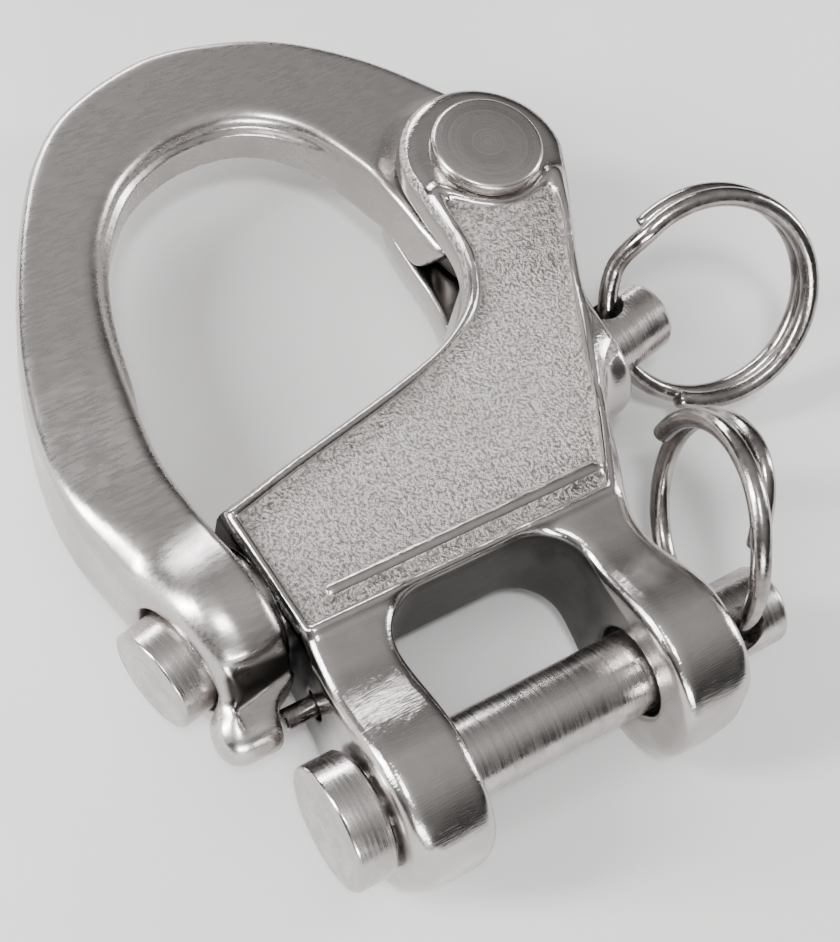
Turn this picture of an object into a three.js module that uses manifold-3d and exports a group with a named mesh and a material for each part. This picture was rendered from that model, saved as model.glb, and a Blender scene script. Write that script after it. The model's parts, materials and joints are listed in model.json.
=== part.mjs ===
// Snap shackle with a clevis jaw, a swinging bail and a spring plunger that latches it.
// The shackle lies on its back: +X runs along the clevis pin towards its split ring,
// +Y from the clevis pin towards the crown of the bail, +Z out of the front face.
// Every turned axis lies in one middle plane. The origin is on the flat back of the
// casting, above the jaw, so the middle plane is at z = BRIDGE_HALF.
// Dimensions are in millimetres.

import * as THREE from 'three';
import { mergeVertices } from 'three/addons/utils/BufferGeometryUtils.js';
import Module from 'manifold-3d';

const wasm = await Module();
wasm.setup();

const PI = Math.PI;
const deg = THREE.MathUtils.degToRad;

// ---------- driving dimensions ----------

// clevis jaw and its pin
const PIN_R = 3.0;
const PIN_Y = -16.0;
const PIN_HEAD_R = 4.6;
const PIN_HEAD_X = [-17.0, -14.15];
const PIN_END_X = 20.2;
const PIN_BORE_R = 3.45;
const JAW_HALF = 7.7;
const JAW_TOP_Y = -5.0;
const JAW_CORNER_R = 3.8;
const EAR_OUT = 13.8;
const EAR_R = 7.0;

// body casting
const BRIDGE_HALF = 5.0;
const CHEEK_HALF = 5.6;
const CHEEK_R = 6.7;
const SLOT_HALF = 2.9;
const SLOT_R = 7.0;
const PANEL_FLOOR = 4.65;
const RIB = { x: 1.2, y: -2.6, length: 23.0, width: 0.9 };

// bail and its hinge
const HINGE = new THREE.Vector2(19.4, 24.6);
const HINGE_PIN_R = 2.4;
const HINGE_BORE_R = 2.7;
const HINGE_HEAD_R = 4.45;
const HINGE_HEAD_TOP = 6.85;
const BAIL_HALF = 2.8;
const BAIL_EYE_R = 6.0;
const TONGUE_HALF = 2.5;
const SHOULDER_R = 7.1;
const BOSS_R = 7.0;
const BOSS_BORE_R = 4.3;
const LIP = { y: -7.9, r: 1.85, from: -20.1, to: -16.2 };

// plunger, on an axis that rises from left to right
const PLUNGER_TILT = deg(12);
const PLUNGER_Y = 3.3;
const TIP_R = 3.85;
const TIP_S = [-23.0, -7.8];
const STEM_R = 2.9;
const STEM_END_S = 27.0;
const SPRING_BORE = { r: 4.17, end: 13.5 };
const STEM_BORE_R = 3.2;
const GLAND = { r: 5.0, from: 8.0, to: 20.2 };
const SPRING = { wire: 0.28, mean: 3.54, turns: 8, from: -7.2, to: 12.9 };

// split rings: each hole is turned about its pin, then the ring swings about the hole
const WIRE_R = 0.75;
const WIRE_PITCH = 1.6;
const CROSS_HOLE_R = 1.7;
const PLUNGER_RING = { at: 22.9, mean: 8.3, hole: deg(47), swing: deg(-22) };
const PIN_RING = { at: 15.95, mean: 7.6, hole: deg(-55), swing: deg(-72) };

// stop pin pressed into the side of the casting
const STOP = { from: -15.9, to: -9.0, y: -8.0, r: 0.8, clearance: 0.3 };

// ---------- solids and outlines ----------

function solid(geometry) {
  geometry.deleteAttribute('normal');
  geometry.deleteAttribute('uv');
  const merged = mergeVertices(geometry, 1e-5);
  return new wasm.Manifold(new wasm.Mesh({
    numProp: 3,
    vertProperties: merged.attributes.position.array,
    triVerts: Uint32Array.from(merged.index.array),
  }));
}

function geometryOf(manifold) {
  const mesh = manifold.getMesh();
  const geometry = new THREE.BufferGeometry();
  geometry.setAttribute('position', new THREE.BufferAttribute(mesh.vertProperties, 3));
  geometry.setIndex(new THREE.BufferAttribute(mesh.triVerts, 1));
  geometry.computeVertexNormals();
  return geometry;
}

const points2 = (pairs) => pairs.map(([x, y]) => new THREE.Vector2(x, y));

// a plate of the outline's shape, lying between two heights
function plate(outline, low, high) {
  const geometry = new THREE.ExtrudeGeometry(outline, {
    depth: high - low,
    bevelEnabled: false,
    curveSegments: 12,
  });
  geometry.translate(0, 0, low);
  return solid(geometry);
}

// a bar along X whose section is drawn with Y across and Z up
function barAlongX(section, from, to) {
  const geometry = new THREE.ExtrudeGeometry(section, {
    depth: to - from,
    bevelEnabled: false,
    curveSegments: 24,
  });
  geometry.translate(0, 0, from);
  geometry.rotateX(PI / 2);
  geometry.rotateZ(PI / 2);
  return solid(geometry);
}

// a piece turned about X, from (position, radius) pairs between its two flat ends
function turned(profile, segments = 56) {
  const ends = [[0, profile[0][0]], ...profile.map(([s, r]) => [r, s]), [0, profile.at(-1)[0]]];
  const geometry = new THREE.LatheGeometry(points2(ends), segments);
  geometry.rotateZ(-PI / 2);
  return solid(geometry);
}

const rodX = (radius, from, to, segments = 56) => turned([[from, radius], [to, radius]], segments);

function rodZ(x, y, radius, low, high, segments = 56) {
  const geometry = new THREE.CylinderGeometry(radius, radius, high - low, segments);
  geometry.rotateX(PI / 2);
  geometry.translate(x, y, (low + high) / 2);
  return solid(geometry);
}

// moves a piece from its own X axis onto the plunger's axis in the casting
const ontoPlungerAxis = (piece) => piece.rotate([0, 0, 12]).translate([0, PLUNGER_Y, 0]);

// closes a side view whose upper half starts on the middle plane
function mirroredSection(upper) {
  const lower = upper.slice(1).reverse().map((p) => new THREE.Vector2(p.x, -p.y));
  return new THREE.Shape([...upper, ...lower]);
}

// a round arc as a few points, from one angle to another
function arcPoints(x, y, radius, from, to, count) {
  const arc = new THREE.EllipseCurve(x, y, radius, radius, from, to, to < from);
  return arc.getPoints(count);
}

// ---------- body casting ----------

function bodyOutline() {
  const shape = new THREE.Shape();
  const foot = PIN_Y - EAR_R;
  shape.moveTo(-11.0, foot);
  shape.quadraticCurveTo(-EAR_OUT, foot, -EAR_OUT, foot + 2.8);
  shape.lineTo(-EAR_OUT, PIN_Y + 3.5);
  shape.quadraticCurveTo(-EAR_OUT, -8.5, -13.2, -5.0);
  shape.lineTo(-13.85, 6.0);
  shape.splineThru(points2([
    [-7.0, 7.6], [3.0, 9.9], [7.4, 11.2], [10.4, 13.2], [12.2, 16.0], [12.7, 19.0], [12.7, 22.0],
  ]));
  shape.absarc(HINGE.x, HINGE.y, CHEEK_R, PI, -0.15, true);
  shape.splineThru(points2([[24.6, 20.0], [22.8, 16.5], [18.0, 6.0], [16.4, 2.0], [14.6, -2.6]]));
  shape.splineThru(points2([[13.1, -6.0], [12.9, -8.2], [13.5, -12.0], [EAR_OUT, -15.0]]));
  shape.lineTo(EAR_OUT, foot + 2.8);
  shape.quadraticCurveTo(EAR_OUT, foot, 11.0, foot);
  return shape;
}

// seen from the side: round lobes at the pin, a flat plate, slightly thicker cheeks
function bodySection() {
  const lobe = arcPoints(PIN_Y, 0, EAR_R, PI, deg(55), 20);
  const fillet = new THREE.QuadraticBezierCurve(lobe.at(-1), ...points2([[-10.93, 5], [-7, 5]]));
  const cheek = new THREE.CubicBezierCurve(
    ...points2([[13, BRIDGE_HALF], [15.5, BRIDGE_HALF], [16.5, CHEEK_HALF], [19, CHEEK_HALF]]),
  );
  const top = new THREE.Vector2(HINGE.y + 8, CHEEK_HALF);
  return mirroredSection([...lobe, ...fillet.getPoints(6).slice(1), ...cheek.getPoints(6), top]);
}

function jawWindow() {
  const shape = new THREE.Shape();
  const inner = JAW_HALF - JAW_CORNER_R;
  shape.moveTo(-JAW_HALF, PIN_Y - EAR_R - 1);
  shape.lineTo(JAW_HALF, PIN_Y - EAR_R - 1);
  shape.absarc(inner, JAW_TOP_Y - JAW_CORNER_R, JAW_CORNER_R, 0, PI / 2, false);
  shape.absarc(-inner, JAW_TOP_Y - JAW_CORNER_R, JAW_CORNER_R, PI / 2, PI, false);
  return shape;
}

// the fork slot for the bail's tongue is open to the left and over the hinge
function forkSlot() {
  const shape = new THREE.Shape();
  shape.moveTo(5, 15.8);
  shape.lineTo(18.0, 15.8);
  shape.lineTo(HINGE.x + 0.5, 18.2);
  shape.lineTo(HINGE.x + 0.5, 40);
  shape.lineTo(5, 40);
  return shape;
}

// the sunken field on the front face, bounded by a narrow raised rim
function panelOutline() {
  const shape = new THREE.Shape();
  shape.moveTo(-12.3, -4.4);
  shape.lineTo(12.2, -4.4);
  shape.splineThru(points2([[15.6, 2.2], [17.2, 6.2], [21.0, 14.6]]));
  shape.quadraticCurveTo(17.8, 14.2, 14.2, 15.0);
  shape.splineThru(points2([[11.9, 12.4], [8.8, 10.4], [3.3, 8.7], [-7.0, 6.4], [-12.8, 5.0]]));
  return shape;
}

function bodySolid() {
  const block = plate(bodyOutline(), -8, 8).intersect(barAlongX(bodySection(), -30, 40));
  const gland = ontoPlungerAxis(turned([[GLAND.from, GLAND.r], [GLAND.to, GLAND.r]]));
  const rib = new THREE.BoxGeometry(RIB.length, RIB.width, 1);
  rib.translate(RIB.x, RIB.y, BRIDGE_HALF - 0.5);
  const panel = plate(panelOutline(), PANEL_FLOOR, 8).subtract(solid(rib));
  const bores = [
    ontoPlungerAxis(rodX(SPRING_BORE.r, -24, SPRING_BORE.end)),
    ontoPlungerAxis(rodX(STEM_BORE_R, SPRING_BORE.end - 1, 30)),
    rodX(PIN_BORE_R, -20, 20).translate([0, PIN_Y, 0]),
    rodX(STOP.r + STOP.clearance, -20, STOP.to + STOP.clearance, 24).translate([0, STOP.y, 0]),
    rodZ(HINGE.x, HINGE.y, HINGE_BORE_R, -9, 9),
    rodZ(HINGE.x, HINGE.y, SLOT_R, -SLOT_HALF, SLOT_HALF, 64),
    plate(forkSlot(), -SLOT_HALF, SLOT_HALF),
    plate(jawWindow(), -9, 9),
    panel,
  ];
  return bores.reduce((rest, cut) => rest.subtract(cut), block.add(gland));
}

// ---------- bail ----------

// outer edge from the hinge round the crown to the boss, then back up the inner edge
function bailOutline() {
  const shape = new THREE.Shape();
  shape.moveTo(22.2, 31.6);
  shape.splineThru(points2([
    [20.9, 33.9], [17.0, 38.7], [11.8, 42.9], [6.4, 45.0], [0.1, 45.8], [-7.2, 43.5],
    [-11.7, 39.9], [-15.4, 34.5], [-18.5, 28.4], [-20.7, 22.7], [-22.2, 16.6], [-22.6, 11.0],
    [-21.9, 6.0], [-20.4, -1.0],
  ]));
  shape.lineTo(-20.3, -5.8);
  shape.lineTo(-19.6, -7.6);
  shape.lineTo(-14.0, -6.3);
  shape.lineTo(-14.3, 1.0);
  shape.splineThru(points2([
    [-15.0, 7.0], [-15.2, 11.0], [-14.8, 15.0], [-13.3, 23.2], [-11.65, 28.2], [-9.4, 32.0],
    [-6.0, 35.3], [-0.9, 37.3], [4.4, 37.0], [8.6, 34.2], [11.0, 29.8],
  ]));
  shape.lineTo(13.4, 28.0);
  return shape;
}

// thin at the crown, swelling to a round boss about the plunger
function bailSection() {
  const boss = arcPoints(-0.8, 0, BOSS_R, PI, deg(75), 20);
  const flare = new THREE.CubicBezierCurve(
    boss.at(-1),
    ...points2([[6.0, 6.2], [12.0, 3.9], [24.0, BAIL_HALF]]),
  );
  const crown = new THREE.Vector2(50, BAIL_HALF);
  return mirroredSection([...boss, ...flare.getPoints(14).slice(1), crown]);
}

// the thinner tongue: round eye at the hinge and a finger that reaches down in the slot
function tongueOutline() {
  const shape = new THREE.Shape();
  shape.moveTo(HINGE.x, HINGE.y + BAIL_EYE_R);
  shape.lineTo(13.0, 34.0);
  shape.lineTo(9.6, 32.5);
  shape.splineThru(points2([[11.0, 29.8], [12.1, 25.8], [12.5, 22.2]]));
  shape.quadraticCurveTo(12.7, 20.3, 14.3, 20.2);
  shape.lineTo(17.0, 20.2);
  shape.lineTo(HINGE.x, HINGE.y - BAIL_EYE_R);
  shape.absarc(HINGE.x, HINGE.y, BAIL_EYE_R, -PI / 2, PI / 2, false);
  return shape;
}

function bailSolid() {
  const limb = plate(bailOutline(), -8, 8).intersect(barAlongX(bailSection(), -30, 40));
  const shoulder = rodZ(HINGE.x, HINGE.y, SHOULDER_R, -9, 9, 64);
  const tongue = plate(tongueOutline(), -TONGUE_HALF, TONGUE_HALF);
  const lip = rodX(LIP.r, LIP.from, LIP.to, 32).translate([0, LIP.y, 0]);
  return limb
    .subtract(shoulder)
    .add(tongue)
    .add(lip)
    .subtract(rodZ(HINGE.x, HINGE.y, HINGE_BORE_R, -9, 9))
    .subtract(ontoPlungerAxis(rodX(BOSS_BORE_R, -26, -10)));
}

// ---------- turned pieces ----------

function plungerSolid() {
  const profile = [
    [TIP_S[0], TIP_R - 0.35],
    [TIP_S[0] + 0.35, TIP_R],
    [TIP_S[1], TIP_R],
    [TIP_S[1], STEM_R],
    [STEM_END_S - 0.5, STEM_R],
    [STEM_END_S, STEM_R - 0.5],
  ];
  const hole = rodZ(0, 0, CROSS_HOLE_R, -5, 5, 32).rotate([-90 + 47, 0, 0]);
  return turned(profile).subtract(hole.translate([PLUNGER_RING.at, 0, 0]));
}

function clevisPinSolid() {
  const profile = [
    [PIN_HEAD_X[0], PIN_HEAD_R - 0.3],
    [PIN_HEAD_X[0] + 0.3, PIN_HEAD_R],
    [PIN_HEAD_X[1], PIN_HEAD_R],
    [PIN_HEAD_X[1], PIN_R],
    [PIN_END_X - 0.6, PIN_R],
    [PIN_END_X, PIN_R - 0.6],
  ];
  const hole = rodZ(0, 0, CROSS_HOLE_R, -5, 5, 32).rotate([-90 - 55, 0, 0]);
  return turned(profile).subtract(hole.translate([PIN_RING.at, 0, 0]));
}

function hingePinSolid() {
  const profile = [
    [-CHEEK_HALF, HINGE_PIN_R],
    [CHEEK_HALF + 0.3, HINGE_PIN_R],
    [CHEEK_HALF + 0.3, HINGE_HEAD_R],
    [HINGE_HEAD_TOP - 0.35, HINGE_HEAD_R],
    [HINGE_HEAD_TOP, HINGE_HEAD_R - 0.35],
  ];
  return turned(profile).rotate([0, -90, 0]);
}

// ---------- wire pieces ----------

function wireAlong(path, radius, steps) {
  const circle = new THREE.Shape();
  circle.absarc(0, 0, radius, 0, 2 * PI, false);
  return new THREE.ExtrudeGeometry(circle, {
    steps,
    extrudePath: path,
    bevelEnabled: false,
    curveSegments: 6,
  });
}

const ease = (t) => THREE.MathUtils.smoothstep(t, 0, 1);

// a split ring lies in its own XY plane with the strand that fills the hole at x = -mean;
// start and span are angles, layer gives the height along the wire, peel the last bend
function splitRing(mean, start, span, layer, peel) {
  const count = Math.round(span / deg(12));
  const path = [];
  for (let i = 0; i <= count; i += 1) {
    const run = (span * i) / count;
    const angle = start - run;
    const radius = mean - peel * ease((run - (span - deg(70))) / deg(70));
    const height = layer(run);
    path.push(new THREE.Vector3(radius * Math.cos(angle), radius * Math.sin(angle), height));
  }
  return wireAlong(new THREE.CatmullRomCurve3(path), WIRE_R, count * 2);
}

// one turn through the hole, then a jog sideways and a second turn beside the first
function plungerRingWire() {
  const layer = (run) => WIRE_PITCH * ease((run - deg(330)) / deg(30));
  return splitRing(PLUNGER_RING.mean, deg(112), deg(600), layer, 0);
}

// the first end stands clear of the second turn, whose own end is bent inwards
function pinRingWire() {
  const layer = (run) => WIRE_PITCH * (1 - ease((run - deg(125)) / deg(85)));
  return splitRing(PIN_RING.mean, deg(35), deg(500), layer, 2.6);
}

function springWire() {
  const path = [];
  const count = SPRING.turns * 16;
  for (let i = 0; i <= count; i += 1) {
    const angle = (i * PI) / 8;
    const s = THREE.MathUtils.lerp(SPRING.from, SPRING.to, i / count);
    path.push(new THREE.Vector3(s, SPRING.mean * Math.cos(angle), SPRING.mean * Math.sin(angle)));
  }
  return wireAlong(new THREE.CatmullRomCurve3(path), SPRING.wire, count);
}

// ---------- assembly ----------

function piece(name, geometry, color, metalness = 1.0, roughness = 0.3) {
  const material = new THREE.MeshStandardMaterial({ color, metalness, roughness });
  const mesh = new THREE.Mesh(geometry, material);
  mesh.name = name;
  return mesh;
}

const group = new THREE.Group();
group.name = 'snap_shackle';

const middle = new THREE.Group();
middle.position.z = BRIDGE_HALF;
group.add(middle);

const stopPin = rodX(STOP.r, STOP.from, STOP.to, 24).translate([0, STOP.y, 0]);
const hingePin = hingePinSolid().translate([HINGE.x, HINGE.y, 0]);
middle.add(
  piece('body', geometryOf(bodySolid()), '#98928f'),
  piece('stop_pin', geometryOf(stopPin), '#a39d9a'),
  piece('pivot_pin', geometryOf(hingePin), '#a8a2a0'),
  piece('bail', geometryOf(bailSolid()), '#9d9896'),
);

const plungerAxis = new THREE.Group();
plungerAxis.position.y = PLUNGER_Y;
plungerAxis.rotation.z = PLUNGER_TILT;
middle.add(plungerAxis);

const pinAxis = new THREE.Group();
pinAxis.position.y = PIN_Y;
middle.add(pinAxis);

// places a ring on the axis of the pin that carries it
function hangRing(axis, ring, mesh) {
  const holder = new THREE.Group();
  holder.position.x = ring.at;
  holder.rotation.x = ring.hole;
  const swing = new THREE.Group();
  swing.rotation.y = ring.swing;
  mesh.position.x = ring.mean;
  swing.add(mesh);
  holder.add(swing);
  axis.add(holder);
}

plungerAxis.add(
  piece('plunger', geometryOf(plungerSolid()), '#a6a19e'),
  piece('plunger_spring', springWire(), '#8d8987'),
);
pinAxis.add(piece('clevis_pin', geometryOf(clevisPinSolid()), '#a19c99'));
hangRing(plungerAxis, PLUNGER_RING, piece('plunger_ring', plungerRingWire(), '#8e8a88'));
hangRing(pinAxis, PIN_RING, piece('clevis_ring', pinRingWire(), '#8e8a88'));

export default group;
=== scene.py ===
import json
import math

import bpy
import numpy as np
from mathutils import Matrix, Vector


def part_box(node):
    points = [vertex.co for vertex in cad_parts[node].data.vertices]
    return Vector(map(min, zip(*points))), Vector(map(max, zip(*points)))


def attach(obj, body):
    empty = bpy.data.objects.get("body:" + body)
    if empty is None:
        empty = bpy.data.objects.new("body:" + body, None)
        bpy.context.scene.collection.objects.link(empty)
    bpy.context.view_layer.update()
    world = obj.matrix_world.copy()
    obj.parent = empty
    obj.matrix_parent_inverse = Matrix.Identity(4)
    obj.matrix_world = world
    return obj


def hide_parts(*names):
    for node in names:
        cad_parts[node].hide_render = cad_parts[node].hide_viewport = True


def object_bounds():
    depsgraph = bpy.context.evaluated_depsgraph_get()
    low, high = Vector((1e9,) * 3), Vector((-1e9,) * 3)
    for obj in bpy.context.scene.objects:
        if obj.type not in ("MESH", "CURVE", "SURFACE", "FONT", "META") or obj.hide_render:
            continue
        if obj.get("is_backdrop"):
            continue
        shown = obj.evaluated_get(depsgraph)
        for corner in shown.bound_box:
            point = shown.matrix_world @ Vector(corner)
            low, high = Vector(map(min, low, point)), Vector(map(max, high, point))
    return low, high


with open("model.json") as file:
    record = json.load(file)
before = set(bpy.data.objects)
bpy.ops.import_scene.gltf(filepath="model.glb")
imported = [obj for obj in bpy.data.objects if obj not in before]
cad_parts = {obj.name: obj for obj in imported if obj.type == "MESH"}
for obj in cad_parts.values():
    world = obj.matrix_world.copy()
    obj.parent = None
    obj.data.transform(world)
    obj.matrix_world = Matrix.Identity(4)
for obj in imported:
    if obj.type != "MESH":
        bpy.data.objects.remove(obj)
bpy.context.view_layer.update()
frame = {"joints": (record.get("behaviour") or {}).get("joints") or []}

# ---------------------------------------------------------------- frame
# Shapes are drawn in millimetres with z = 0 on the middle plane, then moved into the frame.

MM = 0.001
joints = {j["name"]: j for j in frame["joints"]}


def mid(node):
    low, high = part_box(node)
    return (np.array(low) + np.array(high)) / 2 / MM


MID_Z = mid("clevis_pin")[2]
PIN_Y = mid("clevis_pin")[1]
HINGE = np.array(joints["bail_swing"]["pos_m"])[:2] / MM
AXIS = np.array(joints["plunger_pull"]["axis"])
PULL_RING_AT = np.array(joints["plunger_ring_swing"]["pos_m"]) / MM
KEEPER_RING_AT = np.array(joints["clevis_ring_swing"]["pos_m"]) / MM
PLUNGER_Y = PULL_RING_AT[1] - PULL_RING_AT[0] * AXIS[1] / AXIS[0]
STEP = 0.2  # the cell size that the cast pieces are meshed with

# Sizes in millimetres: a half is half a thickness or width, an R or a bore is a radius.
PLATE_HALF = 5.0
CHEEK_R, CHEEK_RISE = 6.75, 0.6
EAR_R, EAR_FOOT = 6.97, 7.0
FIELD_FLOOR, FIELD_FOOT = 4.52, -4.2
BEAD_HEIGHT, BEAD_OFFSET, BEAD_WIDTH = 0.32, 0.52, 0.44
WINDOW_HALF, WINDOW_TOP, WINDOW_CORNER = 7.7, -5.0, 3.8
SLOT_R, SLOT_HALF = 7.0, 2.9
GLAND_R, SPRING_BORE, STEM_BORE = 4.95, 4.17, 3.2
PIN_BORE, HINGE_BORE, STOP_BORE, RING_BORE = 3.45, 2.7, 1.08, 1.7
BOSS_R, BOSS_BORE = 6.95, 4.3
EYE_R, TONGUE_HALF = 6.0, 2.45
FINGER_END = 20.2
LIP_X, LIP_Y, LIP_R, LIP_HALF = -18.55, -7.6, 2.05, 2.2
TIP_R, STEM_R = 3.85, 2.9
CLEVIS_R, CLEVIS_HEAD_R = 3.0, 4.6
RIVET_R, RIVET_HEAD_R = 2.4, 4.45
WIRE_R = 0.75
COIL_R, COIL_WIRE_R, COIL_START, COIL_LENGTH, COIL_TURNS = 3.54, 0.28, -7.2, 20.1, 8


# ---------------------------------------------------------------- implicit shapes
def smax(a, b, k):
    """The larger of two distances, with the corner between them rounded over k."""
    h = np.maximum(k - np.abs(a - b), 0) / k
    return np.maximum(a, b) + h * h * k / 4


def smin(a, b, k):
    """The smaller of two distances, with a fillet of k between them."""
    return -smax(-a, -b, k)


def step(x, low, high):
    """Goes smoothly from 0 at low to 1 at high."""
    t = np.clip((x - low) / (high - low), 0, 1)
    return t * t * (3 - 2 * t)


def spline(points):
    """Points on a smooth curve through the given ones."""
    p = np.array(points, float)
    out = []
    n = len(p)
    for i in range(n - 1):
        a, b = p[i], p[i + 1]
        before = p[i - 1] if i > 0 else 2 * a - b
        after = p[i + 2] if i + 2 < n else 2 * b - a
        for t in np.arange(8) / 8:
            out.append(0.5 * (2 * a + (b - before) * t + (2 * before - 5 * a + 4 * b - after) * t**2
                              + (3 * a - before - 3 * b + after) * t**3))
    out.append(p[-1])
    return [tuple(v) for v in out]


def arc(x, y, r, start, end, count):
    angles = np.radians(np.linspace(start, end, count))
    return [(x + r * math.cos(a), y + r * math.sin(a)) for a in angles]


def area(outline, x, y):
    """Signed distance to a closed outline in the plane, negative inside."""
    p = np.array(outline, float)
    best = np.full(np.broadcast(x, y).shape, 1e9)
    inside = np.zeros(best.shape, bool)
    for (ax, ay), (bx, by) in zip(p, np.roll(p, -1, axis=0)):
        ex, ey = bx - ax, by - ay
        length = ex * ex + ey * ey
        if length < 1e-12:
            continue
        t = np.clip(((x - ax) * ex + (y - ay) * ey) / length, 0, 1)
        best = np.minimum(best, (x - ax - t * ex) ** 2 + (y - ay - t * ey) ** 2)
        if ay != by:
            inside ^= ((ay > y) != (by > y)) & (x < ex * (y - ay) / (by - ay) + ax)
    return np.where(inside, -1, 1) * np.sqrt(best)


class Grid:
    """A block of space in which a shape's signed distance is worked out."""

    def __init__(self, node):
        room = 1.2
        low, high = (np.array(c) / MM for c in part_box(node))
        self.low = low - room - [0, 0, MID_Z]
        high = high + room - [0, 0, MID_Z]
        n = np.ceil((high - self.low) / STEP).astype(int) + 1
        x, y, z = (self.low[i] + STEP * np.arange(n[i]) for i in range(3))
        self.x, self.y, self.z = x[:, None, None], y[None, :, None], z[None, None, :]

    def along(self):
        """Distance along the plunger's axis, and out from it."""
        s = self.x * AXIS[0] + (self.y - PLUNGER_Y) * AXIS[1]
        across = (self.y - PLUNGER_Y) * AXIS[0] - self.x * AXIS[1]
        return s, np.sqrt(across**2 + self.z**2)

    def area(self, outline):
        return area(outline, self.x, self.y)

    def disc(self, x, y, r):
        return np.sqrt((self.x - x) ** 2 + (self.y - y) ** 2) - r

    def mesh(self, name, f):
        """Meshes the zero surface with one vertex in each cell that it crosses."""
        shape = np.broadcast(self.x, self.y, self.z).shape
        f = np.ascontiguousarray(np.broadcast_to(f, shape), dtype=np.float64)
        neg = f < 0
        corners = [(a, b, c) for a in (0, 1) for b in (0, 1) for c in (0, 1)]
        nx, ny, nz = (s - 1 for s in shape)
        total = sum(neg[a:a + nx, b:b + ny, c:c + nz].astype(np.int8) for a, b, c in corners)
        cells = np.argwhere((total > 0) & (total < 8))
        index = np.full((nx, ny, nz), -1)
        index[tuple(cells.T)] = np.arange(len(cells))
        value = {c: f[tuple((cells + c).T)] for c in corners}
        point = np.zeros((len(cells), 3))
        hits = np.zeros(len(cells))
        for c in corners:
            for axis in range(3):
                if c[axis]:
                    continue
                d = tuple(1 if i == axis else c[i] for i in range(3))
                v0, v1 = value[c], value[d]
                cross = (v0 < 0) != (v1 < 0)
                t = np.where(cross, v0 / np.where(cross, v0 - v1, 1), 0)
                p = np.tile(np.array(c, float), (len(cells), 1))
                p[:, axis] += t
                point += p * cross[:, None]
                hits += cross
        point = cells + point / hits[:, None]
        for _ in range(3):
            point = self.pull(f, point)
        quads = []
        for axis in range(3):
            u, v = (axis + 1) % 3, (axis + 2) % 3
            a = np.take(neg, range(shape[axis] - 1), axis)
            b = np.take(neg, range(1, shape[axis]), axis)
            edge = np.argwhere(a != b)
            flip = a[tuple(edge.T)]
            low_side = (edge[:, u] > 0) & (edge[:, v] > 0)
            high_side = (edge[:, u] < shape[u] - 1) & (edge[:, v] < shape[v] - 1)
            ok = low_side & high_side
            edge, flip = edge[ok], flip[ok]
            ring = []
            for du, dv in ((1, 1), (0, 1), (0, 0), (1, 0)):
                e = edge.copy()
                e[:, u] -= du
                e[:, v] -= dv
                ring.append(index[tuple(e.T)])
            q = np.stack(ring, 1)
            q[~flip] = q[~flip][:, ::-1]
            quads.append(q)
        quads = np.concatenate(quads)
        verts = (self.low + point * STEP + [0, 0, MID_Z]) * MM
        return make(name, verts, quads)

    @staticmethod
    def pull(f, p):
        """Moves points towards the zero surface, each by at most 0.35 of a cell."""
        i = np.clip(p.astype(int), 0, np.array(f.shape) - 2)
        t = p - i
        got = 0
        slope = np.zeros_like(p)
        for a in (0, 1):
            for b in (0, 1):
                for c in (0, 1):
                    v = f[i[:, 0] + a, i[:, 1] + b, i[:, 2] + c]
                    wx = t[:, 0] if a else 1 - t[:, 0]
                    wy = t[:, 1] if b else 1 - t[:, 1]
                    wz = t[:, 2] if c else 1 - t[:, 2]
                    got = got + v * wx * wy * wz
                    slope[:, 0] += (1 if a else -1) * v * wy * wz
                    slope[:, 1] += (1 if b else -1) * v * wx * wz
                    slope[:, 2] += (1 if c else -1) * v * wx * wy
        size = np.maximum((slope**2).sum(1), 1e-9)
        move = np.clip((got / size)[:, None] * slope, -0.35, 0.35)
        return p - move


# ---------------------------------------------------------------- meshes
def make(name, verts, faces):
    mesh = bpy.data.meshes.new(name)
    mesh.from_pydata([tuple(v) for v in verts], [], [tuple(int(i) for i in q) for q in faces])
    mesh.validate()
    mesh.shade_smooth()
    obj = bpy.data.objects.new(name, mesh)
    bpy.context.scene.collection.objects.link(obj)
    return obj


def sharpen(obj, angle):
    obj.data.set_sharp_from_angle(angle=math.radians(angle))


def place(obj, origin_mm, x_axis, y_axis):
    """Puts an object drawn about its own X axis onto a line in the frame."""
    x = Vector(x_axis).normalized()
    z = x.cross(Vector(y_axis)).normalized()
    y = z.cross(x)
    turn = Matrix((x, y, z)).transposed().to_4x4()
    obj.matrix_world = Matrix.Translation(Vector(origin_mm) * MM) @ turn


def turned(name, profile, segments=96):
    """A piece turned about its own X axis, from (position, radius) pairs in millimetres."""
    verts = [(profile[0][0] * MM, 0, 0)]
    for s, r in profile:
        for k in range(segments):
            a = 2 * math.pi * k / segments
            verts.append((s * MM, r * MM * math.cos(a), r * MM * math.sin(a)))
    verts.append((profile[-1][0] * MM, 0, 0))
    faces = []
    last = len(verts) - 1
    for k in range(segments):
        n = (k + 1) % segments
        faces.append((0, 1 + n, 1 + k))
        for i in range(len(profile) - 1):
            a, b = 1 + i * segments, 1 + (i + 1) * segments
            faces.append((a + k, a + n, b + n, b + k))
        top = 1 + (len(profile) - 1) * segments
        faces.append((top + k, top + n, last))
    return make(name, verts, faces)


def rounded(s, r, size, outward):
    """A rounded corner of a turned profile at the end of a cylinder."""
    angles = np.linspace(0, math.pi / 2, 5)
    corner = [(s + outward * (size * math.sin(a) - size), r - size + size * math.cos(a)) for a in angles]
    return corner if outward > 0 else corner[::-1]


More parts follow.
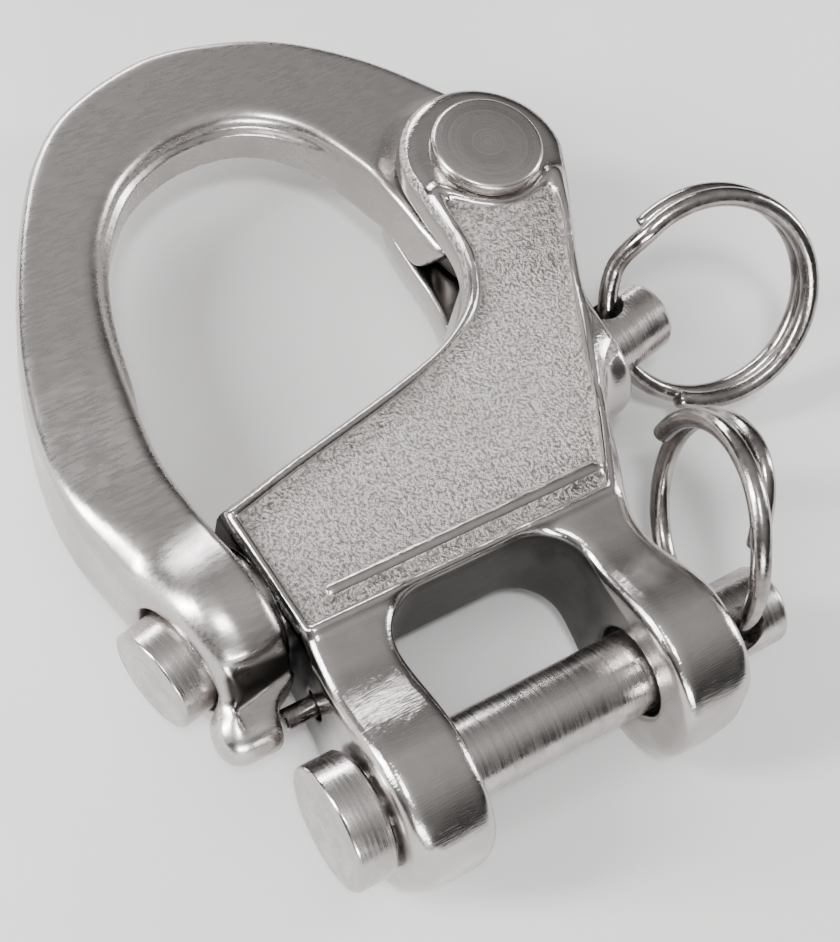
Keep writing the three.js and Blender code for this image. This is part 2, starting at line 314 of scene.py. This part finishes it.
def drill(obj, at_mm, direction, radius):
    """Cuts a round hole through a turned piece. Its edges start to open out short of reach."""
    edge = 0.25
    reach = 3.2
    far = 6.0
    profile = [(-far, radius + edge + 3), (-reach, radius + edge), (-reach + edge * 2.4, radius),
               (reach - edge * 2.4, radius), (reach, radius + edge), (far, radius + edge + 3)]
    cutter = turned(obj.name + "_cut", profile, 48)
    place(cutter, at_mm, direction, (0.3, 0.2, 1))
    mod = obj.modifiers.new("hole", "BOOLEAN")
    mod.operation = "DIFFERENCE"
    mod.solver = "EXACT"
    mod.object = cutter
    bpy.context.view_layer.update()
    done = bpy.data.meshes.new_from_object(obj.evaluated_get(bpy.context.evaluated_depsgraph_get()))
    obj.modifiers.clear()
    obj.data = done
    bpy.data.objects.remove(cutter)


def sweep(name, path, radius, sides=24):
    """A round wire along a path, with slightly rounded ends. All in millimetres."""
    path = np.array(path, float)
    tangent = np.gradient(path, axis=0)
    tangent /= np.linalg.norm(tangent, axis=1)[:, None]
    normal = np.cross(tangent[0], [0.3, 0.5, 0.8])
    rings = []
    caps = [(-0.32, 0.55), (-0.22, 0.82), (-0.08, 0.96)]
    stations = [(path[0] + tangent[0] * o * radius, tangent[0], k) for o, k in caps]
    stations += [(p, t, 1.0) for p, t in zip(path, tangent)]
    stations += [(path[-1] - tangent[-1] * o * radius, tangent[-1], k) for o, k in caps[::-1]]
    for p, t, k in stations:
        normal = normal - t * normal.dot(t)
        normal /= np.linalg.norm(normal)
        side = np.cross(t, normal)
        angles = 2 * np.pi * np.arange(sides) / sides
        ring = p + radius * k * (np.cos(angles)[:, None] * normal + np.sin(angles)[:, None] * side)
        rings.append(ring)
    verts = np.concatenate([stations[0][0][None], *rings, stations[-1][0][None]]) * MM
    faces = []
    end = len(verts) - 1
    for k in range(sides):
        n = (k + 1) % sides
        faces.append((0, 1 + n, 1 + k))
        for i in range(len(rings) - 1):
            a, b = 1 + i * sides, 1 + (i + 1) * sides
            faces.append((a + k, a + n, b + n, b + k))
        top = 1 + (len(rings) - 1) * sides
        faces.append((top + k, top + n, end))
    return make(name, verts, faces)


# ---------------------------------------------------------------- casting
def casting_outline():
    """The casting from the front, clockwise from the left ear's foot."""
    foot = PIN_Y - EAR_FOOT
    left = [(-10.6, foot), (-12.6, foot + 0.35), (-13.6, foot + 1.5), (-13.85, foot + 3.2),
            (-13.8, PIN_Y + 3.5), (-13.55, -8.5), (-13.2, -5.0), (-13.85, 6.0)]
    neck = spline([(-13.85, 6.0), (-7, 7.6), (3, 9.9), (7.4, 11.2), (10.4, 13.2), (12.2, 16.0),
                   (12.7, 19.0), (12.65, 22.0)])
    cheek = arc(*HINGE, CHEEK_R, 178, -10, 40)
    flank = spline([(25.9, 22.9), (24.6, 20.0), (22.8, 16.5), (18.0, 6.0), (16.4, 2.0), (14.6, -2.6),
                    (13.1, -6.0), (12.8, -8.4), (13.4, -12.0), (13.8, -15.0)])
    right = [(13.85, foot + 3.2), (13.6, foot + 1.5), (12.6, foot + 0.35), (10.6, foot)]
    return left + neck + cheek + flank + right


def field_outline():
    """The sunken field on the casting's front, which runs on up the neck."""
    flank = spline([(17.0, 6.2), (21.2, 15.4), (23.2, 20.6)])
    neck = spline([(13.95, 22.6), (13.85, 19.0), (13.5, 16.2), (12.0, 13.2), (8.8, 11.0), (3.3, 8.9),
                   (-7, 6.5), (-12.8, 5.0)])
    return flank + neck + [(-12.3, FIELD_FOOT), (12.0, FIELD_FOOT), (15.4, 2.2)]


def casting():
    g = Grid("body")
    x, y, z = g.x, g.y, g.z
    s, out = g.along()
    across_pin = np.sqrt((y - PIN_Y) ** 2 + z**2)
    field = smax(g.area(field_outline()), -g.disc(*HINGE, 5.1), 2.2)

    # The plate, thicker at the cheeks and with a bead round the field, and the two round ears.
    bead = BEAD_HEIGHT * np.exp(-(((field - BEAD_OFFSET) / BEAD_WIDTH) ** 2))
    bead = bead * step(g.disc(*HINGE, 4.5), 0.0, 0.5)
    rise = CHEEK_RISE * step(y, 13.0, 18.0)
    half = PLATE_HALF + rise
    plate = np.maximum(np.abs(z) - half - np.where(z > 0, bead, 0), -(y + 13.5))
    shape = smax(g.area(casting_outline()), smin(plate, across_pin - EAR_R, 2.6), 1.3)

    # The gland round the plunger's stem.
    gland = smax(out - GLAND_R, np.maximum(s - 20.15, 6 - s), 0.9)
    shape = smin(shape, gland, 1.8)

    # The sunken field, and the rib along its foot.
    sunk = smax(field, FIELD_FLOOR + rise - z, 0.3)
    shape = smax(shape, -sunk, 0.35)
    rib = smax(smax(np.abs(y + 2.6) - 0.5, np.abs(x - 1.2) - 11.4, 0.5), z - 4.95, 0.5)
    shape = smin(shape, np.maximum(rib, 3.8 - z), 0.4)

    # The window between the ears, with round upper corners.
    qx = np.maximum(np.abs(x) - (WINDOW_HALF - WINDOW_CORNER), 0)
    qy = np.maximum(y - (WINDOW_TOP - WINDOW_CORNER), 0)
    window = np.sqrt(qx**2 + qy**2) - WINDOW_CORNER
    shape = smax(shape, -window, 1.1)

    # The bores for the spring, the stem, the clevis pin, the stop pin and the hinge pin.
    shape = smax(shape, -smax(out - SPRING_BORE, s - 13.5, 0.4), 0.4)
    shape = smax(shape, -(out - STEM_BORE), 0.35)
    shape = smax(shape, -(across_pin - PIN_BORE), 0.5)
    stop = np.sqrt((y - mid("stop_pin")[1]) ** 2 + z**2) - STOP_BORE
    shape = np.maximum(shape, -np.maximum(stop, x + 8.7))
    shape = smax(shape, -g.disc(*HINGE, HINGE_BORE), 0.3)

    # The slot between the cheeks, for the bail's tongue and finger.
    slot = [(4, 15.8), (18.0, 15.8), (HINGE[0] + 0.5, 18.2), (HINGE[0] + 0.5, 42), (4, 42)]
    slot = np.minimum(g.area(slot), g.disc(*HINGE, SLOT_R))
    shape = smax(shape, -np.maximum(slot, np.abs(z) - SLOT_HALF), 0.4)
    return g.mesh("casting", shape)


# ---------------------------------------------------------------- bail
def bail_outline():
    """The bail from the front with its opening filled, anticlockwise from the hinge eye."""
    crown = spline([
        (22.6, 30.2), (22.2, 31.7), (20.9, 33.9), (17.0, 38.7), (11.8, 42.9), (6.4, 45.0), (0.1, 45.7),
        (-7.2, 43.5), (-11.7, 39.9), (-15.4, 34.5), (-18.5, 28.4), (-20.7, 22.7), (-22.2, 16.6),
        (-22.55, 11.0), (-21.9, 6.0), (-20.4, -1.0)])
    lip = [(-19.1, -7.0), (-18.6, -7.7), (-17.6, -7.9), (-14.7, -6.6), (-14.0, -6.0), (-14.3, 1.0)]
    inside = [(-14.4, 4.0), (0.0, 15.0), (12.0, 21.0), (12.6, 19.0), (13.2, 18.6), (17.0, 18.6)]
    return arc(*HINGE, EYE_R, -90, 58, 30) + crown + lip + inside


def bail_opening():
    """The inner edge of the bail, closed beyond its outline."""
    rim = spline([(-14.3, 1.0), (-15.0, 7.0), (-15.2, 11.0), (-14.8, 15.0), (-13.3, 23.2), (-11.65, 28.2),
                  (-9.4, 32.0), (-6.0, 35.3), (-0.9, 37.2), (4.4, 36.9), (8.6, 34.1), (11.0, 29.8),
                  (12.1, 25.8), (12.5, 22.0), (12.65, 19.4)])
    return rim + [(12.9, 18.2), (13.0, 5.0), (-10.0, -8.0), (-13.4, -4.0)]


def bail_half(g):
    """Half the bail's thickness: thick at the boss, thin at the crown, thinnest in the fork."""
    half = np.interp(g.y.ravel(), [1, 4, 7, 10.6, 14, 17, 20.5, 24, 30],
                     [5.3, 5.3, 5.15, 4.7, 4.1, 3.6, 3.15, 2.9, 2.85])
    kernel = np.hanning(15)
    half = np.convolve(np.pad(half, 7, "edge"), kernel / kernel.sum(), "valid")[None, :, None]
    pivot = np.sqrt((g.x - HINGE[0]) ** 2 + (g.y - HINGE[1]) ** 2)
    clear = np.maximum(step(g.x, 10.5, 9.0), step(g.y, 21.5, 25.0))
    return TONGUE_HALF + (half - TONGUE_HALF) * step(pivot, 6.9, 8.6) * clear


def bail():
    g = Grid("bail")
    x, y, z = g.x, g.y, g.z
    _, out = g.along()

    # The limb and the round boss, cut to the outline.
    height = smin(np.maximum(np.abs(z) - bail_half(g), 0.5 - y), out - BOSS_R, 1.5)
    corner = 1.1 + 2.4 * step(y, 15.0, 4.0) * step(-x, 15.0, 18.0)
    shape = smax(height, g.area(bail_outline()), corner)

    # The opening, with a bead along the crown's inner edge.
    soft = 1.5 - 0.9 * step(x, 6.0, 12.0) - 0.5 * step(-y, -12.0, -4.0)
    bead = 0.5 * step(np.abs(z), 1.8, 1.4) * step(y, 14.0, 20.0) * step(x, 11.0, 8.0)
    shape = smax(shape, -(g.area(bail_opening()) + bead), soft)

    # The slanted end of the finger that reaches down into the fork.
    tip = (FINGER_END - 0.5 * z - y) / 1.12 - 9 * np.maximum(11 - x, 0) - 3 * np.maximum(x - 14.5, 0)
    shape = smax(shape, tip, 0.8)

    # The lip below the boss, and the recess above it.
    low = np.sqrt((y - LIP_Y) ** 2 + z**2) - LIP_R
    low = smax(low, np.abs(x - LIP_X) - LIP_HALF, 1.0 + step(-x, 17.0, 19.0))
    shape = smin(shape, low, 1.8)
    pocket = np.maximum(y + 4.6 - 0.09 * (x + 17) ** 2, 1.95 - z)
    pocket = np.maximum(np.abs(x + 16.2) - 2.7, pocket)
    shape = smax(shape, -np.maximum(pocket, 6.1 - out), 0.2)

    # The bores for the hinge pin and the plunger's tip.
    shape = smax(shape, -g.disc(*HINGE, HINGE_BORE), 0.3)
    shape = smax(shape, -(out - BOSS_BORE), 0.6)
    return g.mesh("bail_limb", shape)


# ---------------------------------------------------------------- turned and wire pieces
# The profiles are (position along the piece's axis, radius) pairs.

def plunger():
    profile = rounded(-23.0, TIP_R, 0.22, -1) + [(-8.0, TIP_R), (-7.8, 3.65), (-7.8, STEM_R)]
    profile += [(26.5, STEM_R), (26.85, 2.72), (27.0, 2.45)]
    obj = turned("plunger_bolt", profile)
    place(obj, (0, PLUNGER_Y, MID_Z), AXIS, (0, 1, 0))
    drill(obj, PULL_RING_AT, joints["plunger_ring_swing"]["axis"], RING_BORE)
    return obj


def clevis_pin():
    profile = rounded(-17.0, CLEVIS_HEAD_R, 0.3, -1) + [(-14.35, CLEVIS_HEAD_R), (-14.15, 4.45)]
    profile += [(-14.15, CLEVIS_R), (19.6, CLEVIS_R), (19.75, 2.95), (20.15, 2.5), (20.2, 2.4)]
    obj = turned("clevis_bolt", profile)
    place(obj, (0, PIN_Y, MID_Z), (1, 0, 0), (0, 1, 0))
    drill(obj, KEEPER_RING_AT, joints["clevis_ring_swing"]["axis"], RING_BORE)
    return obj


def hinge_pin():
    profile = [(-5.6, 2.1), (-5.5, 2.35), (-5.3, RIVET_R), (5.66, RIVET_R)]
    profile += [(5.66, 4.3), (5.8, 4.42), (6.0, RIVET_HEAD_R)]
    profile += rounded(6.85, RIVET_HEAD_R, 0.4, 1) + [(6.87, 2.0)]
    obj = turned("hinge_rivet", profile)
    place(obj, (*HINGE, MID_Z), (0, 0, 1), (0, 1, 0))
    return obj


def stop_pin():
    low, high = (np.array(c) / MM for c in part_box("stop_pin"))
    r = (high[1] - low[1]) / 2
    profile = [(low[0], r - 0.18), (low[0] + 0.15, r), (high[0] - 0.1, r), (high[0], r - 0.1)]
    obj = turned("stop_peg", profile, 48)
    place(obj, (0, mid("stop_pin")[1], MID_Z), (1, 0, 0), (0, 1, 0))
    return obj


def ring(name, joint, carrier, mean, swing, start, span, layer, peel):
    """A split ring through its hole. The wire starts at an angle and runs back over a span, in
    degrees. layer is its sideways shift along the run, and peel draws its last part inwards."""
    centre = np.array(joint["pos_m"]) / MM
    hole = np.array(joint["axis"], float)
    carrier = np.array(carrier, float)
    third = np.cross(carrier, hole)
    a = math.radians(swing)
    out = math.cos(a) * carrier - math.sin(a) * third
    normal = math.sin(a) * carrier + math.cos(a) * third
    path = []
    count = int(span / 3)
    for i in range(count + 1):
        run = span * i / count
        angle = math.radians(start - run)
        r = mean - peel * step(run, span - 70, span)
        path.append(centre + out * (mean + r * math.cos(angle)) + hole * r * math.sin(angle)
                    + normal * layer(run))
    return sweep(name, path, WIRE_R)


def pull_ring_layer(run):
    return 1.6 * step(run, 330, 360)


def keeper_ring_layer(run):
    return 1.6 * (1 - step(run, 125, 210))


def spring():
    side = np.cross(AXIS, [0, 0, 1.0])
    up = np.array([0, 0, 1.0])
    origin = np.array([0, PLUNGER_Y, MID_Z])
    path = []
    per_turn = 24
    count = COIL_TURNS * per_turn
    for i in range(count + 1):
        a = 2 * math.pi * i / per_turn
        s = COIL_START + COIL_LENGTH * i / count
        path.append(origin + AXIS * s + COIL_R * (math.cos(a) * side + math.sin(a) * up))
    return sweep("coil", path, COIL_WIRE_R, 12)


# ---------------------------------------------------------------- materials
class Nodes:
    """Short helpers for building one metal's nodes. Noise scales are per metre, bumps in metres."""

    def __init__(self, name, roughness):
        self.mat = bpy.data.materials.new(name)
        self.mat.use_nodes = True
        self.tree = self.mat.node_tree
        self.shader = self.tree.nodes["Principled BSDF"]
        self.shader.inputs["Metallic"].default_value = 1.0
        self.shader.inputs["Roughness"].default_value = roughness
        self.object = self.new("ShaderNodeTexCoord").outputs["Object"]
        self.bumps = None

    def new(self, kind, **settings):
        node = self.tree.nodes.new(kind)
        for key, value in settings.items():
            setattr(node, key, value)
        return node

    def set(self, socket, value):
        if isinstance(value, bpy.types.NodeSocket):
            self.tree.links.new(value, socket)
        else:
            socket.default_value = value

    def math(self, operation, a, b=0.0, c=0.0):
        node = self.new("ShaderNodeMath", operation=operation)
        for socket, value in zip(node.inputs, (a, b, c)):
            self.set(socket, value)
        return node.outputs[0]

    def span(self, value, low, high, to_low=0.0, to_high=1.0):
        """Maps low..high smoothly onto to_low..to_high."""
        node = self.new("ShaderNodeMapRange", interpolation_type="SMOOTHSTEP")
        keys = ("Value", "From Min", "From Max", "To Min", "To Max")
        for key, v in zip(keys, (value, low, high, to_low, to_high)):
            self.set(node.inputs[key], v)
        return node.outputs[0]

    def edge(self, value, low, high):
        """A mask that goes from 0 to 1 between two positions in millimetres."""
        return self.span(value, low * MM, high * MM)

    def product(self, first, *rest):
        """All the values multiplied, which is where all the masks overlap."""
        for value in rest:
            first = self.math("MULTIPLY", first, value)
        return first

    def noise(self, scale, detail, rough, vector=None, stretch=None, turn=(0, 0, 0)):
        vector = vector or self.object
        if stretch:
            node = self.new("ShaderNodeMapping")
            self.set(node.inputs["Vector"], vector)
            node.inputs["Scale"].default_value = stretch
            node.inputs["Rotation"].default_value = turn
            vector = node.outputs[0]
        node = self.new("ShaderNodeTexNoise")
        self.set(node.inputs["Vector"], vector)
        node.inputs["Scale"].default_value = scale
        node.inputs["Detail"].default_value = detail
        node.inputs["Roughness"].default_value = rough
        return node.outputs["Fac"]

    def axes(self):
        node = self.new("ShaderNodeSeparateXYZ")
        self.set(node.inputs[0], self.object)
        return node.outputs

    def mix(self, fac, a, b):
        node = self.new("ShaderNodeMix", data_type="RGBA")
        self.set(node.inputs["Factor"], fac)
        self.set(node.inputs[6], a)
        self.set(node.inputs[7], b)
        return node.outputs[2]

    def bump(self, height, distance, strength):
        """Adds a bump on top of those already there."""
        node = self.new("ShaderNodeBump")
        self.set(node.inputs["Height"], height)
        self.set(node.inputs["Strength"], strength)
        node.inputs["Distance"].default_value = distance
        if self.bumps:
            self.set(node.inputs["Normal"], self.bumps)
        self.bumps = node.outputs[0]

    def done(self, color, roughness):
        self.set(self.shader.inputs["Base Color"], color)
        self.set(self.shader.inputs["Roughness"], roughness)
        self.set(self.shader.inputs["Normal"], self.bumps)
        return self.mat


# The tones of the metal, as linear base colours, and a near-black one that is painted shade.
LIGHT = (0.53, 0.501, 0.487, 1)
MIDDLE = (0.41, 0.385, 0.372, 1)
DARK = (0.19, 0.175, 0.168, 1)
# Painted shade: near-black put on the gaps, the window and the recesses, where shadow falls.
PAINTED_SHADE = (0.035, 0.032, 0.030, 1)


def cast_steel():
    """Polished on the rims and ears, sand-grained in the sunken field on the front."""
    m = Nodes("cast_steel", 0.25)
    x, y, z = m.axes()
    rise = m.span(y, 0.013, 0.018, MID_Z * MM, (MID_Z + CHEEK_RISE) * MM)
    level = m.math("SUBTRACT", z, rise)
    field = m.product(m.edge(level, 4.25, 4.4), m.edge(level, 4.85, 4.7), m.edge(y, -4.5, -4.0))
    grain = m.noise(4000, 2.0, 0.6)
    coarse = m.noise(1900, 2.0, 0.5)
    sand = m.math("MULTIPLY_ADD", grain, 0.8, m.math("MULTIPLY", coarse, 0.3))
    m.bump(sand, 0.0006, field)
    wave = m.noise(210, 2.0, 0.45)
    m.bump(wave, 0.00028, 0.55)
    scratch = m.noise(900, 2.0, 0.6, stretch=(1, 14, 3), turn=(0, 0, 0.5))
    m.bump(scratch, 0.00003, 0.5)
    cloud = m.noise(170, 4.0, 0.6)
    tone = m.mix(m.span(cloud, 0.3, 0.7), LIGHT, MIDDLE)
    pits = m.span(sand, 0.62, 0.44)
    tone = m.mix(m.math("MULTIPLY", field, 0.6), tone, MIDDLE)
    tone = m.mix(m.math("MULTIPLY", field, pits), tone, DARK)

    # Painted shade: near-black inside the window, on the left face behind the bail, and in the fork's
    # slot, where shadow falls.
    window = m.product(m.edge(m.math("ABSOLUTE", x), 8.4, 7.8), m.edge(z, MID_Z + 4.7, MID_Z + 4.3),
                       m.edge(y, -4.0, -4.6), m.edge(y, -17.0, -11.0))
    joint = m.product(m.edge(x, -12.5, -12.9), m.edge(y, -12.0, -9.0), m.edge(y, 7.5, 6.8),
                      m.edge(z, MID_Z + 4.9, MID_Z + 4.5))
    depth = m.math("ABSOLUTE", m.math("SUBTRACT", z, MID_Z * MM))
    fork = m.product(m.edge(depth, 3.2, 2.8), m.edge(y, 14.8, 15.3), m.edge(x, 12.2, 13.6))
    shade = m.math("MAXIMUM", window, m.math("MAXIMUM", joint, fork))
    tone = m.mix(m.math("MULTIPLY", shade, m.span(cloud, 0.35, 0.6, 1.0, 0.9)), tone, PAINTED_SHADE)
    base = m.span(cloud, 0.25, 0.75, 0.14, 0.26)
    rough = m.math("MULTIPLY_ADD", field, m.span(grain, 0.3, 0.7, 0.14, 0.30), base)
    rough = m.math("MULTIPLY_ADD", window, 0.3, rough)
    return m.done(tone, rough)


def bail_steel():
    """Satin on the flat front with fine cross scratches, bright on the rounded flanks."""
    m = Nodes("bail_steel", 0.3)
    x, y, z = m.axes()
    fine = m.noise(5200, 2.0, 0.6, stretch=(1, 0.2, 1), turn=(0, 0, 0.35))
    cross = m.noise(4200, 2.0, 0.6, stretch=(0.16, 1, 1), turn=(0, 0, -0.2))
    scuff = m.span(m.noise(260, 3.0, 0.6), 0.5, 0.68)
    cloud = m.noise(140, 4.0, 0.6)
    dents = m.noise(330, 2.0, 0.5)
    m.bump(dents, 0.00012, 0.4)
    m.bump(fine, 0.00001, 0.10)
    m.bump(cross, 0.000012, m.math("MULTIPLY_ADD", scuff, 0.2, 0.05))
    tone = m.mix(m.span(cloud, 0.25, 0.75), LIGHT, MIDDLE)
    tone = m.mix(m.span(fine, 0.60, 0.80, 0.0, 0.08), tone, DARK)

    # Painted shade: near-black on the face towards the casting, and in the recess above the lip, where
    # shadow falls.
    joint = m.product(m.edge(x, -14.5, -14.2), m.edge(y, 6.0, 4.0))
    spot = m.product(m.edge(x, -19.2, -18.8), m.edge(y, -4.5, -5.0), m.edge(z, MID_Z + 1.9, MID_Z + 2.3))
    tone = m.mix(m.math("MAXIMUM", joint, spot), tone, PAINTED_SHADE)
    rough = m.math("ADD", m.span(cloud, 0.2, 0.8, 0.24, 0.34), m.span(cross, 0.3, 0.7, -0.03, 0.03))
    return m.done(tone, rough)


def turned_steel():
    """Fine turning lines round the axis and facing rings on the ends."""
    m = Nodes("turned_steel", 0.25)
    x, y, z = m.axes()
    radius = m.math("SQRT", m.math("ADD", m.math("MULTIPLY", y, y), m.math("MULTIPLY", z, z)))
    join = m.new("ShaderNodeCombineXYZ")
    m.set(join.inputs[0], x)
    m.set(join.inputs[1], radius)
    lines = m.noise(5200, 3.0, 0.7, vector=join.outputs[0])
    bands = m.noise(1100, 2.0, 0.5, vector=join.outputs[0])
    cloud = m.noise(420, 4.0, 0.65)
    blotch = m.noise(1300, 3.0, 0.6)
    m.bump(lines, 0.00002, 0.28)
    m.bump(blotch, 0.00005, 0.35)
    tone = m.mix(m.span(cloud, 0.3, 0.7), LIGHT, MIDDLE)
    tone = m.mix(m.span(bands, 0.58, 0.75, 0.0, 0.2), tone, DARK)
    rough = m.math("ADD", m.span(lines, 0.3, 0.7, 0.16, 0.27), m.span(cloud, 0.3, 0.75, 0.0, 0.12))
    return m.done(tone, rough)


def wire_steel():
    """Bright drawn wire with faint lengthwise marks and dull patches."""
    m = Nodes("wire_steel", 0.22)
    marks = m.noise(1900, 3.0, 0.6)
    cloud = m.noise(300, 4.0, 0.6)
    m.bump(marks, 0.00004, 0.4)
    m.bump(cloud, 0.00010, 0.35)
    tone = m.mix(m.span(cloud, 0.35, 0.65), MIDDLE, DARK)
    tone = m.mix(m.span(marks, 0.62, 0.75, 0.0, 0.4), tone, DARK)
    rough = m.math("ADD", m.span(cloud, 0.25, 0.75, 0.14, 0.26), m.span(marks, 0.3, 0.7, -0.02, 0.06))
    return m.done(tone, rough)


# ---------------------------------------------------------------- assembly
def finish(obj, body, node, material, angle=None):
    """Gives a piece its metal, and tells the frame which body it rides and what it replaces."""
    obj.data.materials.clear()
    obj.data.materials.append(material)
    if angle:
        sharpen(obj, angle)
    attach(obj, body)
    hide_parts(node)


cast, satin, bright, wire = cast_steel(), bail_steel(), turned_steel(), wire_steel()
finish(casting(), "casting", "body", cast)
finish(bail(), "bail", "bail", satin)
finish(hinge_pin(), "casting", "pivot_pin", bright, 35)
finish(stop_pin(), "casting", "stop_pin", wire, 35)
finish(plunger(), "plunger", "plunger", bright, 25)
finish(clevis_pin(), "clevis_pin", "clevis_pin", bright, 25)
finish(spring(), "plunger", "plunger_spring", wire)
pull_ring = ring("pull_ring", joints["plunger_ring_swing"], AXIS, 8.3, -22, 112, 600,
                 pull_ring_layer, 0)
finish(pull_ring, "plunger_ring", "plunger_ring", wire)
keeper_ring = ring("keeper_ring", joints["clevis_ring_swing"], (1, 0, 0), 7.6, -72, 35, 500,
                   keeper_ring_layer, 2.6)
finish(keeper_ring, "clevis_ring", "clevis_ring", wire)

# ---------------------------------------------------------------- studio
low, high = (np.array(c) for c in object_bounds())
floor_gap = 0.0002
floor_z = low[2] - floor_gap
reach = 1.2
corners = [(-reach, -reach), (reach, -reach), (reach, reach), (-reach, reach)]
floor = make("floor", [(x, y, floor_z) for x, y in corners], [(0, 1, 2, 3)])
paper = bpy.data.materials.new("paper")
paper.use_nodes = True
shader = paper.node_tree.nodes["Principled BSDF"]
shader.inputs["Base Color"].default_value = (0.62, 0.616, 0.612, 1)
shader.inputs["Roughness"].default_value = 0.9
floor.data.materials.append(paper)
floor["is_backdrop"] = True


def lamp(name, place_at, target, width, height, power):
    """A rectangular area light, in metres and watts, turned towards its target."""
    data = bpy.data.lights.new(name, "AREA")
    data.shape = "RECTANGLE"
    data.size, data.size_y = width, height
    data.energy = power
    obj = bpy.data.objects.new(name, data)
    bpy.context.scene.collection.objects.link(obj)
    obj.location = place_at
    way = Vector(target) - Vector(place_at)
    obj.rotation_euler = way.to_track_quat("-Z", "Y").to_euler()


centre = (low + high) / 2
lamp("key", (-0.42, 0.16, 0.26), centre, 0.10, 0.34, 6.0)
lamp("back", (0.02, 0.55, 0.20), centre, 0.42, 0.08, 3.2)
lamp("front", (-0.20, -0.50, 0.20), centre, 0.30, 0.07, 3.6)
lamp("side", (0.50, -0.10, 0.20), centre, 0.07, 0.30, 2.4)
lamp("above", (-0.16, -0.14, 0.62), centre, 0.10, 0.10, 2.6)

# The sky goes from dark below the horizon to pale overhead.
world = bpy.data.worlds.new("studio")
bpy.context.scene.world = world
world.use_nodes = True
tree = world.node_tree
sky = tree.nodes["Background"]
sky.inputs["Strength"].default_value = 1.0
spot = tree.nodes.new("ShaderNodeTexCoord")
split = tree.nodes.new("ShaderNodeSeparateXYZ")
ramp = tree.nodes.new("ShaderNodeValToRGB")
tree.links.new(spot.outputs["Generated"], split.inputs[0])
tree.links.new(split.outputs[2], ramp.inputs[0])
tree.links.new(ramp.outputs[0], sky.inputs["Color"])
tint = (1.0, 0.98, 0.97)
stops = [(0.0, 0.01), (0.30, 0.04), (0.52, 0.16), (0.72, 0.36), (0.88, 0.56), (1.0, 0.72)]
elements = ramp.color_ramp.elements
for i, (at, level) in enumerate(stops):
    stop = elements[i] if i < 2 else elements.new(at)
    stop.position = at
    stop.color = (*(level * t for t in tint), 1)

# The camera looks down on the front from below left. right and up are its own axes.
camera = bpy.data.cameras.new("camera")
camera.lens = 68.79
camera.clip_start = 0.005
view = bpy.data.objects.new("camera", camera)
bpy.context.scene.collection.objects.link(view)
right = Vector((0.84752, -0.504637, 0.164469))
up = Vector((0.379884, 0.793147, 0.476032))
turn = Matrix((right, up, right.cross(up))).transposed().to_4x4()
view.matrix_world = Matrix.Translation((-0.0466852, -0.0407279, 0.1196492)) @ turn
bpy.context.scene.camera = view

bpy.context.view_layer.update()
